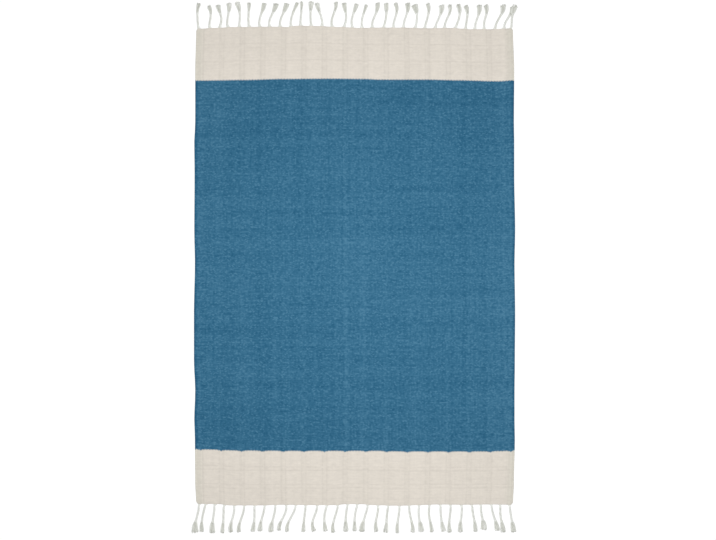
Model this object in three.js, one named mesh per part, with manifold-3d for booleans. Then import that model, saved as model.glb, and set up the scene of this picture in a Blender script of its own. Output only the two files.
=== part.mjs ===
// Flat-woven cotton rug: one cloth with a blue field and natural ends, and a fringe of knotted
// strands along each end. Millimetres, +Z up. The rug lies on z = 0, its far end towards +Y.

import * as THREE from "three";
import { mergeVertices } from "three/addons/utils/BufferGeometryUtils.js";
import Module from "manifold-3d";

const wasm = await Module();
wasm.setup();

// Driving dimensions of the cloth
const CLOTH_WIDTH = 1000; // selvedge to selvedge
const CLOTH_LENGTH = 1500; // end to end, without the fringes
const CLOTH_THICKNESS = 4;
const EDGE_ROUNDING = 1.2; // a woven edge is soft, not square
const END_BAND = 166; // the natural band between each end and the blue field

// The windowpane relief: ribs along the warp, and across the natural bands
const PANES_ACROSS = 15;
const PANE_WIDTH = 64.7;
const PANE_SHIFT = 2.3; // the panes lie a little to the right of the middle
const PANE_LENGTH = 54.2;
const PANES_ALONG_BAND = 3;
const RIB_HALF_WIDTH = 9; // at its foot, in the cloth
const RIB_FOOT = 2; // height of that foot
const WARP_RIB_RISE = 0.5; // of the ribs along the rug, above the cloth
const CROSS_RIB_RISE = 0.35; // of the ribs across the bands
const RIB_MARGIN = 3; // a rib stops this far from an end of the cloth

// The fringe: each strand is a twisted cord, a knot and a brush of three locks
const STRIP_WIDTH = 8; // the last picks of the weave, which hold the strands
const SEAM_GAP = 0.3; // between that strip and the cloth
const CORNER_RADIUS = 6;
const ROOT_DEPTH = 4; // how far a strand reaches into its strip
const MID_AT = 0.29; // the middle of the cord along a strand, from 0 at its root to 1 at its end
const KNOT_AT = 0.6; // the knot's place along a strand
const LOCK_SHARE = 0.3; // half of a lock's width at its widest, as a share of half of its brush
const TOP_SHARE = 0.62; // the width of a bar's top, as a share of its foot

// Where the origin lies: under the middle of the whole rug, fringes included
const FAR_REACH = 80;
const NEAR_REACH = 90;
const FAR_EDGE = (CLOTH_LENGTH + NEAR_REACH - FAR_REACH) / 2;
const NEAR_EDGE = FAR_EDGE - CLOTH_LENGTH;

// Steps between the points of the cloth's edges
const SELVEDGE_STEPS = 40;
const END_STEPS = 30;

// Rows of numbers as objects with named columns.
const table = (columns, rows) =>
  rows.map((row) => Object.fromEntries(columns.map((name, i) => [name, row[i]])));

// How far each selvedge strays outwards, by the distance from the far end.
const SELVEDGES = table(["along", "left", "right"], [
  [0, -3, -3],
  [140, 0, 1],
  [300, 0, 0],
  [360, 3, 1],
  [460, 2, 1],
  [640, 3, 4],
  [740, 1, 2],
  [900, 4, 4],
  [1050, 4, 3],
  [1150, 0, 2],
  [1240, 3, 2],
  [1300, 1, 3],
  [1430, 0, 0],
  [1500, -3, -3],
]);

// How far each end strays outwards, by the place across the rug.
const FAR_STRAY = table(["across", "out"], [
  [-500, -6],
  [-440, -3],
  [-377, 0],
  [-250, 1],
  [-214, 0],
  [-180, 4],
  [-120, 3],
  [-50, 0],
  [20, -3],
  [72, -2],
  [150, -2],
  [230, -4],
  [300, -3],
  [370, -7],
  [430, -7],
  [500, -4],
]);
const NEAR_STRAY = table(["across", "out"], [
  [-500, -4],
  [-430, -3],
  [-390, 1],
  [-300, 1],
  [-226, -1],
  [-130, 0],
  [-63, 0],
  [-22, -3],
  [19, -3],
  [59, 0],
  [141, 2],
  [200, 0],
  [264, -2],
  [345, -1],
  [427, -2],
  [500, -1],
]);

// Each strand from left to right: where its root lies across the rug, how far to the right of that
// root the middle of its cord, its knot and its end lie, how much longer than the others it was cut,
// and half the width of its brush.
const STRAND = ["root", "mid", "knot", "end", "longer", "brush"];
const FAR_STRANDS = table(STRAND, [
  [-491, -1, -2, 4, 5, 6], [-456, 2, 5, -3, -5, 5], [-427, 9, 6, -2, -3, 6],
  [-399, 0, 4, 4, 1, 6], [-363, 3, 2, -7, 3, 6], [-331, -2, -1, -1, 1, 4],
  [-298, 0, 7, 15, -1, 7], [-267, 1, 11, 21, -2, 8], [-234, 2, 11, 21, -1, 8],
  [-200, 1, 8, 21, 0, 5], [-170, 1, 3, 3, 1, 3], [-136, -2, -2, 1, 2, 6],
  [-102, -1, -8, -16, -2, 6], [-70, -1, 7, 10, 3, 5], [-35, 8, 7, 2, 1, 7],
  [-6, -3, 3, 13, 0, 6], [24, -1, 4, 14, -2, 5], [56, 2, 12, 15, 3, 7],
  [90, 7, 10, 9, 2, 6], [122, 3, 10, 5, 2, 7], [154, 3, 11, 11, 2, 7],
  [190, 5, 5, -3, -2, 9], [220, 6, 12, 8, 3, 5], [253, 7, 17, 19, -2, 8],
  [283, 4, 14, 14, -2, 6], [316, 9, 14, 8, 0, 7], [349, 2, 5, -2, -2, 7],
  [379, 2, 10, 11, 1, 6], [409, -2, 4, 1, 1, 7], [442, 5, 18, 23, 1, 7],
  [470, 3, 16, 23, -6, 4], [493, 1, 6, 15, -2, 5],
]);
const NEAR_STRANDS = table(STRAND, [
  [-489, -2, -9, -10, 5, 8], [-467, -7, -12, -13, 3, 5], [-440, -1, -5, -6, 6, 9],
  [-410, -1, -2, -6, 4, 5], [-379, 0, -7, -8, -1, 7], [-347, -3, -12, -15, -1, 5],
  [-314, 0, -1, -7, -2, 6], [-282, -4, -11, -14, -4, 7], [-249, -2, -9, -13, 0, 7],
  [-215, -2, -14, -22, -4, 7], [-185, -7, -21, -26, -1, 5], [-153, -3, -6, -8, -1, 6],
  [-117, -5, -14, -8, -3, 6], [-85, -8, -10, -6, -3, 7], [-52, -6, -14, -14, 2, 5],
  [-21, -5, -7, -6, 1, 8], [10, -7, -10, -10, 0, 6], [42, -6, -14, -18, 0, 8],
  [74, -2, -7, -5, -1, 6], [107, -5, -7, -11, 0, 7], [141, -2, -6, -6, 1, 5],
  [172, 1, 7, 11, 0, 5], [204, -3, 0, 6, -1, 7], [237, -4, 0, 5, 1, 6],
  [270, 0, 3, 10, 0, 6], [302, -2, -5, -3, 3, 5], [336, 0, -3, -3, 1, 6],
  [369, 2, 7, 10, 0, 7], [398, -1, 4, 6, -6, 9], [430, 3, 11, 19, -3, 7],
  [459, -2, 2, 8, 2, 6], [487, 2, 7, 13, 1, 7],
]);

// The two ends. A strand's root draws the cloth's edge out into a point, which is the cusp.
const FAR = {
  name: "far",
  outward: 1,
  edge: FAR_EDGE,
  stray: FAR_STRAY,
  strands: FAR_STRANDS,
  strandLength: 76,
  cusp: 2.5,
};
const NEAR = {
  name: "near",
  outward: -1,
  edge: NEAR_EDGE,
  stray: NEAR_STRAY,
  strands: NEAR_STRANDS,
  strandLength: 86,
  cusp: 1.5,
};

// A strand's sections by their place along it: a twisted cord that swells at its knot. The locks of
// its brush leave it at the knot, and their widths are shares of a lock's width at its widest.
const CORD_SECTIONS = table(["at", "half", "height"], [
  [0, 3.8, 3.6],
  [0.1, 3.5, 6],
  [MID_AT, 3.6, 7],
  [0.54, 3.6, 7],
  [KNOT_AT, 4.3, 8.4],
  [0.66, 3.4, 5.8],
]);
const LOCK_SECTIONS = table(["at", "share", "height"], [
  [0.58, 0.5, 4.6],
  [0.86, 0.95, 4.2],
  [1, 1.05, 3],
]);

const NATURAL_COTTON = new THREE.MeshStandardMaterial({ color: 0xdcd5ca, roughness: 0.95, metalness: 0 });
const BLUE_COTTON = new THREE.MeshStandardMaterial({ color: 0x3b6f8e, roughness: 0.95, metalness: 0 });

// A column's value at a place between two rows, eased from one row to the next.
function valueAt(rows, by, place, column) {
  const next = rows.findIndex((row) => row[by] >= place);
  if (next === 0) return rows[0][column];
  if (next < 0) return rows.at(-1)[column];
  const [before, after] = [rows[next - 1], rows[next]];
  const ease = THREE.MathUtils.smoothstep(place, before[by], after[by]);
  return THREE.MathUtils.lerp(before[column], after[column], ease);
}

// The selvedge on the left or right, as x at a place along the rug.
const leftSelvedge = (y) => -CLOTH_WIDTH / 2 - valueAt(SELVEDGES, "along", FAR_EDGE - y, "left");
const rightSelvedge = (y) => CLOTH_WIDTH / 2 + valueAt(SELVEDGES, "along", FAR_EDGE - y, "right");

// The line of an end, as y at a place across the rug, moved inwards by a distance.
const endLine = (end, x, inwards = 0) =>
  end.edge + end.outward * (valueAt(end.stray, "across", x, "out") - inwards);

// Evenly spaced numbers from one value to another, both included.
const spaced = (from, to, steps) =>
  Array.from({ length: steps + 1 }, (_, i) => THREE.MathUtils.lerp(from, to, i / steps));

// The points of an end's line from its left selvedge to its right one.
function endPoints(end, inwards) {
  const y = end.edge - end.outward * inwards;
  return spaced(leftSelvedge(y), rightSelvedge(y), END_STEPS).map(
    (x) => new THREE.Vector2(x, endLine(end, x, inwards)),
  );
}

// A geometry's closed surface as a solid that can be joined.
function solidOf(geometry) {
  const bare = new THREE.BufferGeometry();
  bare.setAttribute("position", geometry.getAttribute("position"));
  bare.setIndex(geometry.index);
  const merged = mergeVertices(bare);
  return new wasm.Manifold(
    new wasm.Mesh({
      numProp: 3,
      vertProperties: merged.getAttribute("position").array,
      triVerts: new Uint32Array(merged.index.array),
    }),
  );
}

// A joined solid as a geometry again.
function geometryOf(solid) {
  const { vertProperties, triVerts } = solid.getMesh();
  const geometry = new THREE.BufferGeometry();
  geometry.setAttribute("position", new THREE.BufferAttribute(vertProperties, 3));
  geometry.setIndex(new THREE.BufferAttribute(triVerts, 1));
  geometry.computeVertexNormals();
  return geometry;
}

// A bar of four sides through sections that run towards +Y: a box with a slice for each section,
// whose corners move to that section's place, width and height. Its top is narrower than its foot.
function bar(sections, foot = 0) {
  const slices = sections.length - 1;
  const box = new THREE.BoxGeometry(1, slices, 1, 1, slices, 1);
  const corners = box.getAttribute("position");
  for (let i = 0; i < corners.count; i++) {
    const { x, y, half, height } = sections[Math.round(corners.getY(i) + slices / 2)];
    const onTop = corners.getZ(i) > 0;
    const reach = Math.sign(corners.getX(i)) * half * (onTop ? TOP_SHARE : 1);
    corners.setXYZ(i, x + reach, y, onTop ? height : foot);
  }
  return box;
}

// One straight rib of the windowpane relief along Y.
function rib(x, from, to, rise) {
  const section = { x, half: RIB_HALF_WIDTH, height: CLOTH_THICKNESS + rise };
  return bar([{ ...section, y: from }, { ...section, y: to }], RIB_FOOT);
}

// The cloth without its ribs: the outline of its four edges, with soft corners to its section.
function clothSlab(inwards) {
  const [nearY, farY] = [NEAR_EDGE + inwards, FAR_EDGE - inwards];
  const along = spaced(nearY, farY, SELVEDGE_STEPS).slice(1, -1);
  const outline = [
    ...endPoints(NEAR, inwards),
    ...along.map((y) => new THREE.Vector2(rightSelvedge(y), y)),
    ...endPoints(FAR, inwards).reverse(),
    ...along.reverse().map((y) => new THREE.Vector2(leftSelvedge(y), y)),
  ];
  const slab = new THREE.ExtrudeGeometry(new THREE.Shape(outline), {
    depth: CLOTH_THICKNESS - 2 * EDGE_ROUNDING,
    bevelThickness: EDGE_ROUNDING,
    bevelSize: EDGE_ROUNDING,
    bevelOffset: -EDGE_ROUNDING,
    bevelSegments: 1,
  });
  return slab.translate(0, 0, EDGE_ROUNDING);
}

// The woven cloth: its slab with the ribs of the warp and of the two natural bands raised on it.
function clothGeometry() {
  const inwards = STRIP_WIDTH + SEAM_GAP;
  const ribSpan = (PANES_ACROSS * PANE_WIDTH) / 2;
  let cloth = solidOf(clothSlab(inwards));
  for (const x of spaced(PANE_SHIFT - ribSpan, PANE_SHIFT + ribSpan, PANES_ACROSS)) {
    const from = endLine(NEAR, x, inwards + RIB_MARGIN);
    const to = endLine(FAR, x, inwards + RIB_MARGIN);
    cloth = cloth.add(solidOf(rib(x, from, to, WARP_RIB_RISE)));
  }
  for (const end of [FAR, NEAR]) {
    for (let pane = 1; pane < PANES_ALONG_BAND; pane++) {
      const y = end.edge - end.outward * (END_BAND - pane * PANE_LENGTH);
      const across = rib(0, -ribSpan, ribSpan, CROSS_RIB_RISE).rotateZ(-Math.PI / 2);
      cloth = cloth.add(solidOf(across.translate(PANE_SHIFT, y, 0)));
    }
  }
  return geometryOf(cloth);
}

// The strip that holds an end's strands, with its outer edge drawn to a cusp at each root.
function stripGeometry(end) {
  const inner = endPoints(end, STRIP_WIDTH);
  const [left, right] = [inner[0], inner.at(-1)];
  const outerAt = (x, out) => endLine(end, x) + end.outward * out;
  const roots = end.strands.map(({ root }) => root);
  const strip = new THREE.Shape();
  strip.moveTo(left.x, left.y);
  strip.lineTo(left.x, outerAt(left.x, -CORNER_RADIUS));
  strip.quadraticCurveTo(left.x, outerAt(left.x, 0), roots[0], outerAt(roots[0], end.cusp));
  for (let i = 1; i < roots.length; i++) {
    const middle = (roots[i - 1] + roots[i]) / 2;
    strip.quadraticCurveTo(middle, outerAt(middle, -end.cusp), roots[i], outerAt(roots[i], end.cusp));
  }
  strip.quadraticCurveTo(right.x, outerAt(right.x, 0), right.x, outerAt(right.x, -CORNER_RADIUS));
  inner.reverse().forEach(({ x, y }) => strip.lineTo(x, y));
  return new THREE.ExtrudeGeometry(strip, {
    depth: CLOTH_THICKNESS,
    bevelEnabled: false,
    curveSegments: 3,
  });
}

// A cubic of a place that is 1 at its own place and 0 at the three others.
const cubicThrough = (own, others) => (at) =>
  others.reduce((product, other) => (product * (at - other)) / (own - other), 1);
const MID_PULL = cubicThrough(MID_AT, [0, KNOT_AT, 1]);
const KNOT_PULL = cubicThrough(KNOT_AT, [0, MID_AT, 1]);
const END_PULL = cubicThrough(1, [0, MID_AT, KNOT_AT]);

// The curve of a strand on the floor: x and y at a place along it. It passes from its root through
// the middle of its cord and its knot to its end on a cubic.
function strandCurve(end, strand) {
  const length = end.strandLength + strand.longer;
  const rootY = endLine(end, strand.root);
  return (at) => ({
    x: strand.root + strand.mid * MID_PULL(at) + strand.knot * KNOT_PULL(at) + strand.end * END_PULL(at),
    y: rootY + end.outward * length * at,
  });
}

// The bars of one strand: its cord with the knot, and the three locks of its brush.
function strandBars(end, strand) {
  const curve = strandCurve(end, strand);
  const root = { ...CORD_SECTIONS[0], ...curve(0) };
  root.y -= end.outward * ROOT_DEPTH;
  const cord = [root, ...CORD_SECTIONS.slice(1).map((section) => ({ ...section, ...curve(section.at) }))];
  const widest = LOCK_SHARE * strand.brush;
  const locks = [-1, 0, 1].map((side) =>
    LOCK_SECTIONS.map(({ at, share, height }) => {
      const { x, y } = curve(at);
      return { x: x + side * share * (strand.brush - widest), y, half: share * widest, height };
    }),
  );
  return [cord, ...locks].map((sections) => bar(end.outward > 0 ? sections : sections.reverse()));
}

// The fringe of one end: its strip with every strand fused in by the root.
function fringeGeometry(end) {
  let fringe = solidOf(stripGeometry(end));
  for (const piece of end.strands.flatMap((strand) => strandBars(end, strand))) {
    fringe = fringe.add(solidOf(piece));
  }
  return geometryOf(fringe);
}

// One named sub-part of the rug.
function subPart(name, geometry, material) {
  const mesh = new THREE.Mesh(geometry, material);
  mesh.name = name;
  return mesh;
}

const rug = new THREE.Group();
rug.name = "rug";
rug.add(subPart("rug_cloth", clothGeometry(), BLUE_COTTON));
for (const end of [FAR, NEAR]) {
  rug.add(subPart(`fringe_${end.name}`, fringeGeometry(end), NATURAL_COTTON));
}

export default rug;
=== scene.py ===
# %% [markdown]
# A flat-woven kids rug
#
# The rug is one cotton cloth, blue with a natural band at each end, and a row of knotted strands
# along both short ends. The packed solids are the frame: they fix its size and place. What they stand
# for is soft, so a finer piece made here takes the place of each: the sheet with its selvedges for
# the cloth, and twisted yarns for the strands. All lengths in the tables are millimetres, and a piece
# is turned into metres only when its mesh is made.

# %% The frame
from typing import NamedTuple

import bpy
import numpy as np
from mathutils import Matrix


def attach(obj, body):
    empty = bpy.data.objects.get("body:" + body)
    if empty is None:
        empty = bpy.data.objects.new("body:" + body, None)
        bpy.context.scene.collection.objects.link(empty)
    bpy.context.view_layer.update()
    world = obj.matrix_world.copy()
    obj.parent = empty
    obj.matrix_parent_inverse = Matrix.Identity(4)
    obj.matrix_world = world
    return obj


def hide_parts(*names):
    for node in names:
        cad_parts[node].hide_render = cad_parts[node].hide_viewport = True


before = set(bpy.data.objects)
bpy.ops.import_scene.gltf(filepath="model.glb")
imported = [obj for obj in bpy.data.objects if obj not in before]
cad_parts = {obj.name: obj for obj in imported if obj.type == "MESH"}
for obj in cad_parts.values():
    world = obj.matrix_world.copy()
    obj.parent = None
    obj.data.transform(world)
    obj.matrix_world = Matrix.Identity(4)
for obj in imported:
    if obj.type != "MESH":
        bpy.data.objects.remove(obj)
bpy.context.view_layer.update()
MM = 0.001
print("solids:", sorted(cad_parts))

# %% [markdown]
# The lie of the cloth
#
# A loom holds warp and weft square, but a rug that is cut off, washed and rolled is square no more.
# A lattice could bend a square sheet, but then every other piece would have to be bent to match.
# Here a point of the cloth is named by its place in the weave, across and along from the middle, and
# one function says where that place lies on the floor. The selvedges stray by a few millimetres, the
# ends and the two colour lines bow, and the strands draw each end into scallops. The same function
# carries the sheet, the selvedges and the roots, so they always meet, and the weave's colours are
# looked up by the place in the weave, so they bend with the cloth.

# %% Tables of the strays
WIDTH, LENGTH, THICKNESS = 1000.0, 1500.0, 4.0
MIDDLE = 5.0  # y of the cloth's middle: the near fringe is the longer one
BAND = 166.0  # the natural band between an end and the blue field
FIELD_HALF = LENGTH / 2 - BAND

# distance from the far end; how far the left and the right selvedge stray outwards
SELVEDGES = np.array([
    (0, -3, -3), (140, 0, 1), (300, 0, 0), (360, 3, 1), (460, 2, 1), (640, 3, 4), (740, 1, 2),
    (900, 4, 4), (1050, 4, 3), (1150, 0, 2), (1240, 3, 2), (1300, 1, 3), (1430, 0, 0), (1500, -3, -3),
], float)
# place across the rug; how far a line of the weft bows towards the far end
FAR_END = np.array([
    (-500, -6), (-440, -3), (-377, 0), (-250, 1), (-214, 0), (-180, 4), (-120, 3), (-50, 0), (20, -3),
    (72, -2), (150, -2), (230, -4), (300, -3), (370, -7), (430, -7), (500, -4),
], float)
FAR_LINE = np.array([
    (-500, -2), (-340, 0), (-230, 3), (-80, 4), (30, 3), (80, 1), (230, 1), (320, -1), (450, -4), (500, -1),
], float)
NEAR_LINE = np.array([
    (-500, 9), (-450, 7), (-370, 4), (-180, 3), (60, 3), (150, 1), (230, 1), (390, 1), (450, 2), (500, 4),
], float)
NEAR_END = np.array([
    (-500, 4), (-430, 3), (-390, -1), (-300, -1), (-226, 1), (-130, 0), (-63, 0), (-22, 3), (19, 3),
    (59, 0), (141, -2), (200, 0), (264, 2), (345, 1), (427, 2), (500, 1),
], float)
print("a selvedge strays by up to", np.abs(SELVEDGES[:, 1:]).max(), "mm")


# %% Between the rows of a table
def smooth(share):
    """The share from 0 to 1 eased at both ends: three squares less two cubes."""
    share = np.clip(share, 0, 1)
    return share * share * (3 - 2 * share)


def eased(place, at, value):
    """A table's value at any place: from one row to the next by an eased share."""
    after = np.clip(np.searchsorted(at, place), 1, len(at) - 1)
    share = smooth((place - at[after - 1]) / (at[after] - at[after - 1]))
    return value[after - 1] + (value[after] - value[after - 1]) * share


print("the far end bows by", round(eased(0.0, *FAR_END.T), 2), "mm at its middle")

# %% [markdown]
# Every strand has a row of its own: where its root lies, how far the middle of its cord, its knot
# and its end lie to the right of that root, how much longer than the others it was cut, and half the
# width of its brush. The strands were cut and laid by hand, so no rule gives them.


# %% The two ends
class End(NamedTuple):
    """One short end of the rug, with its strands from left to right."""

    name: str
    outward: int  # the way from the cloth along y
    length: float  # of a strand
    cusp: float  # how far a root draws the edge out
    girth: float  # width of a cord's twist as a share of its height
    strands: np.ndarray  # a row for each: root, mid, knot, end, longer by, half of the brush

    @property
    def roots(self):
        """Where each strand leaves the cloth, across the rug."""
        return self.strands[:, 0]

    @property
    def bends(self):
        """How far mid, knot and end lie to the right of each root."""
        return self.strands[:, 1:4]

    @property
    def lengths(self):
        """The length of each strand as it was cut."""
        return self.length + self.strands[:, 4]

    @property
    def brush_halves(self):
        """Half of the width of each brush."""
        return self.strands[:, 5]


FAR = End("far", 1, 76.0, 2.5, 1.05, np.array([
    (-491, -1, -2, 4, 5, 6), (-456, 2, 5, -3, -5, 6), (-427, 9, 6, -2, -3, 7),
    (-399, 0, 4, 4, 1, 7), (-363, 3, 2, -7, 3, 7), (-331, -2, -1, -1, 1, 6),
    (-298, 0, 7, 15, -1, 7), (-267, 1, 11, 21, -2, 8), (-234, 2, 11, 21, -1, 8),
    (-200, 1, 8, 21, 0, 5), (-170, 1, 3, 3, 1, 4), (-136, -2, -2, 1, 2, 7),
    (-102, -1, -8, -16, -2, 7), (-70, -1, 7, 10, 3, 6), (-35, 8, 7, 2, 1, 7),
    (-6, -3, 3, 13, 0, 6), (24, -1, 4, 14, -2, 5), (56, 2, 12, 15, 3, 7),
    (90, 7, 10, 9, 2, 7), (122, 3, 10, 5, 2, 6), (154, 3, 11, 11, 2, 8),
    (190, 5, 5, -3, -2, 10), (220, 6, 12, 8, 3, 6), (253, 7, 17, 19, -2, 8),
    (283, 4, 14, 14, -2, 6), (316, 9, 14, 8, 0, 6), (349, 2, 5, -2, -2, 7),
    (379, 2, 10, 11, 1, 8), (409, -2, 4, 1, 1, 7), (442, 5, 18, 23, 1, 8),
    (470, 4, 17, 24, -6, 7), (493, 0, 3, 13, -2, 8),
], float))
NEAR = End("near", -1, 86.0, 1.5, 1.14, np.array([
    (-489, -2, -9, -10, 5, 10), (-467, -7, -12, -13, 3, 6), (-440, -1, -5, -6, 6, 8),
    (-410, -1, -2, -6, 4, 6), (-379, 0, -7, -8, -1, 7), (-347, -3, -12, -15, -1, 6),
    (-314, 0, -1, -7, -2, 6), (-282, -4, -11, -14, -4, 7), (-249, -2, -9, -13, 0, 8),
    (-215, -2, -14, -22, -4, 6), (-185, -7, -21, -26, -1, 6), (-153, -3, -6, -8, -1, 6),
    (-117, -5, -14, -8, -3, 6), (-85, -8, -10, -6, -3, 7), (-52, -6, -14, -14, 2, 6),
    (-21, -5, -7, -6, 1, 7), (10, -7, -10, -10, 0, 6), (42, -6, -14, -18, 0, 8),
    (74, -2, -7, -5, -1, 6), (107, -5, -7, -11, 0, 7), (141, -2, -6, -6, 1, 5),
    (172, 1, 7, 11, 0, 6), (204, -3, 0, 6, -1, 8), (237, -4, 0, 5, 1, 6),
    (270, 0, 3, 10, 0, 7), (302, -2, -5, -3, 3, 6), (336, 0, -3, -3, 1, 7),
    (369, 2, 7, 10, 0, 6), (398, -1, 4, 6, -6, 10), (430, 3, 11, 19, -3, 8),
    (459, -2, 2, 8, 2, 7), (487, 2, 7, 13, 1, 8),
], float))
ENDS = (FAR, NEAR)
STRANDS = sum(len(end.strands) for end in ENDS)
print("strands:", STRANDS)

# %% Where a place of the weave lies
PULL_DEPTH = 14.0  # how far into the cloth the pull of a root is felt
CORNER = 9.0  # the round of the cloth's corners


def scallop(across, end):
    """1 at a root and 0 midway between two roots: the share from midway to a root, to the power 4."""
    roots = end.roots
    after = np.clip(np.searchsorted(roots, across), 1, len(roots) - 1)
    share = (across - roots[after - 1]) / (roots[after] - roots[after - 1])
    return np.clip(2 * share - 1, -1, 1) ** 4


def lie(across, along):
    """x and y of places in the weave: the square grid, moved sideways by a blend of both selvedges'
    strays, moved lengthways by the bow of the nearest weft lines, and drawn out at the roots."""
    from_far = LENGTH / 2 - along
    left, right = (eased(from_far, SELVEDGES[:, 0], SELVEDGES[:, side]) for side in (1, 2))
    share = across / WIDTH + 0.5
    x = across + share * right - (1 - share) * left
    far = along > 0
    line = np.where(far, eased(across, *FAR_LINE.T), eased(across, *NEAR_LINE.T))
    edge = np.where(far, eased(across, *FAR_END.T), eased(across, *NEAR_END.T))
    in_band = smooth((np.abs(along) - FIELD_HALF) / BAND)
    bow = smooth(np.abs(along) / FIELD_HALF) * (line + (edge - line) * in_band)
    felt = np.clip(1 - (LENGTH / 2 - np.abs(along)) / PULL_DEPTH, 0, 1) ** 2
    drawn = np.where(far, FAR.cusp * scallop(across, FAR), NEAR.cusp * scallop(across, NEAR))
    rounded = CORNER * np.clip(1 - (WIDTH / 2 - np.abs(across)) / CORNER, 0, 1) ** 2
    y = MIDDLE + along + bow + np.sign(along) * felt * (drawn - rounded)
    return x, y


print("the far right corner lies at", [round(float(v), 1) for v in lie(WIDTH / 2, LENGTH / 2)])

# %% [markdown]
# Meshes from whole arrays
#
# Two kinds of surface make the whole rug. A sheet is a grid over two parameters with a top and an
# underside, and a yarn is a ring carried along a path. A plane with modifiers and curves with a bevel
# would give the same shapes, but thousands of curves are slow to make and to join. As arrays of
# points and of four-cornered faces each piece is one mesh, however many yarns it holds. Along with
# its place, every point keeps its place in the weave or the tone of its yarn, which the materials
# read.


# %% Grids and yarns
def grid_faces(ids):
    """The four-cornered faces of a grid of point numbers, seen with columns right and rows up."""
    corners = [ids[:-1, :-1], ids[:-1, 1:], ids[1:, 1:], ids[1:, :-1]]
    return np.stack(corners, -1).reshape(-1, 4)


def unit(vectors):
    """Vectors of length one."""
    return vectors / np.linalg.norm(vectors, axis=-1, keepdims=True)


def yarns(paths, radii, sides):
    """Round yarns along paths (yarn, step, 3) with radii (yarn, step). A ring's point is the path's
    point plus the radius times (cos a * level side + sin a * up), and two flat caps close a yarn. The
    sides are even in number, so that fours of points fill a cap."""
    count, steps, _ = paths.shape
    onward = unit(np.gradient(paths, axis=1))
    level = unit(np.cross(onward, (0, 0, 1)))
    up = np.cross(level, onward)
    a = (np.arange(sides) + 0.5) * 2 * np.pi / sides
    ring = np.cos(a)[:, None] * level[:, :, None] + np.sin(a)[:, None] * up[:, :, None]
    points = paths[:, :, None] + np.broadcast_to(radii, (count, steps))[:, :, None, None] * ring
    ids = np.arange(count * steps * sides).reshape(count, steps, sides)
    edge_shade = np.roll(ids, -1, axis=2)
    wall = np.stack([ids[:, :-1], ids[:, 1:], edge_shade[:, 1:], edge_shade[:, :-1]], -1).reshape(-1, 4)
    fan = [(0, k, k + 1, k + 2) for k in range(1, sides - 1, 2)]
    start = ids[:, 0][:, fan].reshape(-1, 4)
    finish = ids[:, -1][:, fan].reshape(-1, 4)[:, ::-1]
    return points.reshape(-1, 3), np.concatenate([wall, start, finish])


straight = np.array([[(0, 0, 0), (0, 1, 0), (0, 2, 0)]], float)
print("faces of a yarn with two steps and six sides:", len(yarns(straight, np.array(1.0), 6)[1]))


# %% Joining, and a piece of the rug
def joined(parts):
    """Several (points, faces) as one, each part's faces counted on from the points before it."""
    starts = np.cumsum([0] + [len(points) for points, _ in parts[:-1]])
    faces = [faces + start for (_, faces), start in zip(parts, starts)]
    return np.concatenate([points for points, _ in parts]), np.concatenate(faces)


def piece(name, points, faces, material, slot, **values):
    """A smooth mesh in metres from points in mm, with named values kept on its points. It rides on
    the rug's one body and takes the material it is given; slot is not used."""
    mesh = bpy.data.meshes.new(name)
    mesh.vertices.add(len(points))
    mesh.vertices.foreach_set("co", (points * MM).astype(np.float32).ravel())
    mesh.loops.add(faces.size)
    mesh.loops.foreach_set("vertex_index", faces.astype(np.int32).ravel())
    mesh.polygons.add(len(faces))
    mesh.polygons.foreach_set("loop_start", np.arange(0, faces.size, 4, dtype=np.int32))
    mesh.update(calc_edges=True)
    for key, value in values.items():
        flat = value.ndim == 1
        kept = mesh.attributes.new(key, "FLOAT" if flat else "FLOAT_VECTOR", "POINT")
        kept.data.foreach_set("value" if flat else "vector", value.astype(np.float32).ravel())
    mesh.shade_smooth()
    mesh.materials.append(material)
    made = bpy.data.objects.new(name, mesh)
    bpy.context.scene.collection.objects.link(made)
    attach(made, "root")
    print(f"{name}: {len(points)} points, {2 * len(faces)} triangles")
    return made


# %% [markdown]
# Sums in a material
#
# The weave's pattern is arithmetic on a place: which pick, which warp end, over or under. Math nodes
# could be placed and linked one by one, but a formula is easier to read. A small class wraps one
# output socket, and Python's own operators add the Math nodes. One method makes any other node from
# its kind, its settings and what goes into its sockets.


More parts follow.
